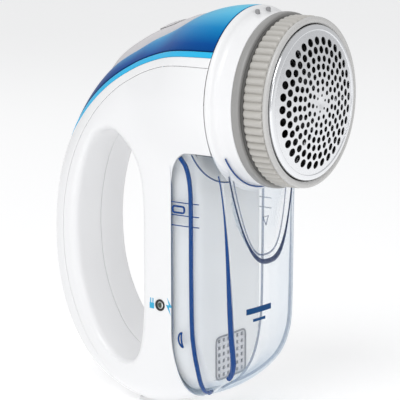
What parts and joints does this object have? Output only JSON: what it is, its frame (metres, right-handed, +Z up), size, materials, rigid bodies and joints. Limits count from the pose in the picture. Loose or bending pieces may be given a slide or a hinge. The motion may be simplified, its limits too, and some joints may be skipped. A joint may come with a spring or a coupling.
{
  "type": "fabric shaver",
  "caption": "Rechargeable fabric shaver with a loop handle, a round perforated shaving head with a ribbed ring, and a clear lint bin in front of the column.",
  "frame": {"origin": "middle of the bounding box in X and Y, at the height of its lowest point, the pad under the base", "axes": "+Z up along the column and handle, -Y the way the shaving head faces, X across the mirror plane"},
  "size_m": [0.0744, 0.1288, 0.1692],
  "materials": {
    "white_shell": "gloss white",
    "blue_panel": "gloss metallic blue",
    "cyan_trim": "gloss",
    "grey_plastic": "satin",
    "beige_ring": "satin",
    "polished_steel": "polished",
    "satin_steel": "satin",
    "clear_plastic": "clear",
    "black_plastic": "satin",
    "rubber_pad": "matte",
    "brass": "plain",
    "green_board": "satin",
    "cell_wrap": "gloss",
    "led_green": "clear",
    "grille_white": "satin"
  },
  "bodies": {
    "body": {"left_shell": "white_shell", "right_shell": "white_shell", "spine_cover": "white_shell", "top_panel": "blue_panel", "accent_left": "cyan_trim", "accent_right": "cyan_trim", "switch_plate": "white_shell", "slide_switch": "black_plastic", "head_collar": "white_shell", "base_flange": "grey_plastic", "shaft_bush": "brass", "motor_plate": "grey_plastic", "motor_can": "satin_steel", "motor_endcap": "black_plastic", "motor_screw_1": "satin_steel", "motor_screw_2": "satin_steel", "vent_grille": "grille_white", "base_pad": "rubber_pad", "battery_1": "cell_wrap", "battery_2": "cell_wrap", "circuit_board": "green_board", "transformer": "black_plastic", "led_bezel": "black_plastic", "charge_led": "led_green", "ac_inlet": "black_plastic", "inlet_pin_1": "brass", "inlet_pin_2": "brass", "shell_screw_1": "satin_steel", "shell_screw_2": "satin_steel", "shell_screw_3": "satin_steel", "shell_screw_4": "satin_steel"},
    "switch": {"switch_knob": "grey_plastic"},
    "dial": {"height_dial": "beige_ring"},
    "guard": {"guard_ring": "beige_ring"},
    "rotor": {"blade_hub": "black_plastic", "blade_1": "satin_steel", "blade_2": "satin_steel", "blade_3": "satin_steel", "hub_spring": "satin_steel", "fan_wheel": "black_plastic", "motor_shaft": "polished_steel"},
    "foil": {"foil_frame": "polished_steel", "shaving_foil": "satin_steel"},
    "bin": {"lint_bin": "clear_plastic"}
  },
  "joints": [
    {"name": "switch_slide", "type": "slide", "parent": "body", "child": "switch", "axis": [0, 0.9131, -0.4078], "range_m": [0, 0.0055]},
    {"name": "dial_turn", "type": "hinge", "parent": "body", "child": "dial", "pos_m": [0, -0.055, 0.132], "axis": [0, -1, 0], "range_deg": [0, 60]},
    {"name": "guard_travel", "type": "slide", "parent": "body", "child": "guard", "axis": [0, -1, 0], "range_m": [0, 0.0015]},
    {"name": "rotor_spin", "type": "hinge", "parent": "body", "child": "rotor", "pos_m": [0, -0.03, 0.132], "axis": [0, -1, 0], "continuous": true},
    {"name": "foil_lift", "type": "slide", "parent": "body", "child": "foil", "axis": [0, -1, 0], "range_m": [0, 0.03]},
    {"name": "bin_slide", "type": "slide", "parent": "body", "child": "bin", "axis": [0, -1, 0], "range_m": [0, 0.055]}
  ],
  "couplings": [
    {"joint": "guard_travel", "follows": "dial_turn", "m_per_rad": 0.001337}
  ]
}
